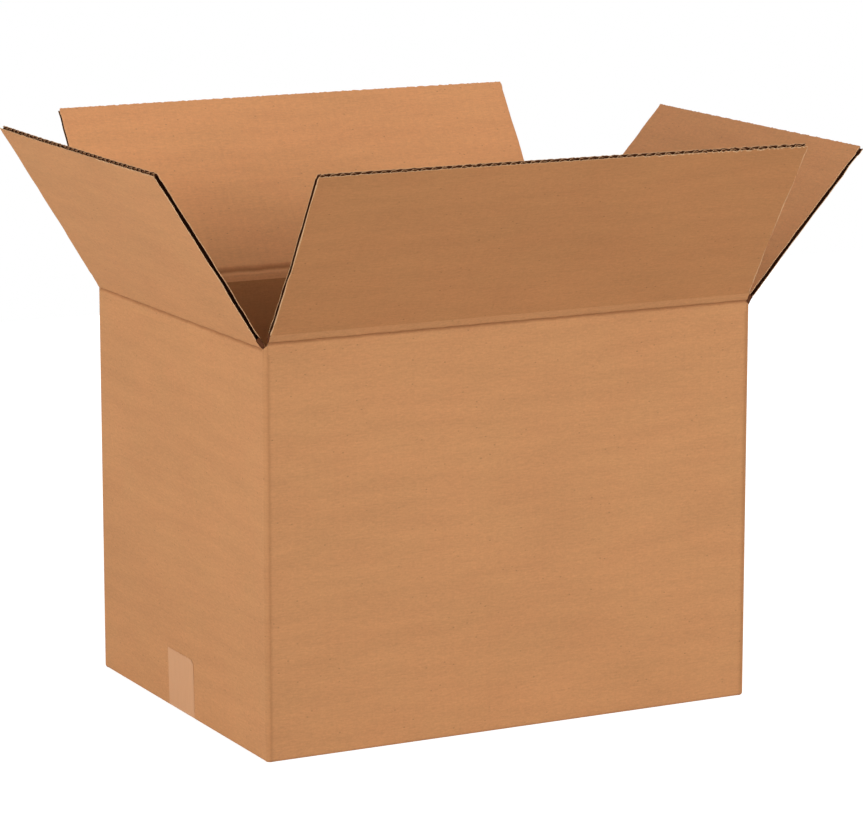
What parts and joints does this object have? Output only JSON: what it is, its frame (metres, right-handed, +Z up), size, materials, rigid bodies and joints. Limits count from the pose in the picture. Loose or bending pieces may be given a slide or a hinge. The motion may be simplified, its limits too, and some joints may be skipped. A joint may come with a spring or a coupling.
{
  "type": "open cardboard box",
  "caption": "Brown corrugated cardboard shipping box with creased top flaps standing open and a taped bottom.",
  "frame": {"origin": "centre of the underside, on the surface that the box stands on", "axes": "+Z up, +X along the long walls, the front long wall faces -Y"},
  "size_m": [0.6032, 0.4841, 0.4496],
  "materials": {
    "kraft_board": "matte",
    "packing_tape": "satin"
  },
  "bodies": {
    "carton": {"carton_body": "kraft_board", "bottom_tape": "packing_tape"},
    "top_front": {"flap_front": "kraft_board"},
    "top_back": {"flap_back": "kraft_board"},
    "top_left": {"flap_left": "kraft_board"},
    "top_right": {"flap_right": "kraft_board"}
  },
  "joints": [
    {"name": "crease_front", "type": "hinge", "parent": "carton", "child": "top_front", "pos_m": [0, -0.1565, 0.3152], "axis": [1, 0, 0], "range_deg": [-122, 140]},
    {"name": "crease_back", "type": "hinge", "parent": "carton", "child": "top_back", "pos_m": [0, 0.1565, 0.3152], "axis": [-1, 0, 0], "range_deg": [-124.5, 137.5]},
    {"name": "crease_left", "type": "hinge", "parent": "carton", "child": "top_left", "pos_m": [-0.207, 0, 0.311], "axis": [0, -1, 0], "range_deg": [-122.5, 139.5]},
    {"name": "crease_right", "type": "hinge", "parent": "carton", "child": "top_right", "pos_m": [0.207, 0, 0.311], "axis": [0, 1, 0], "range_deg": [-132.5, 129.5]}
  ]
}
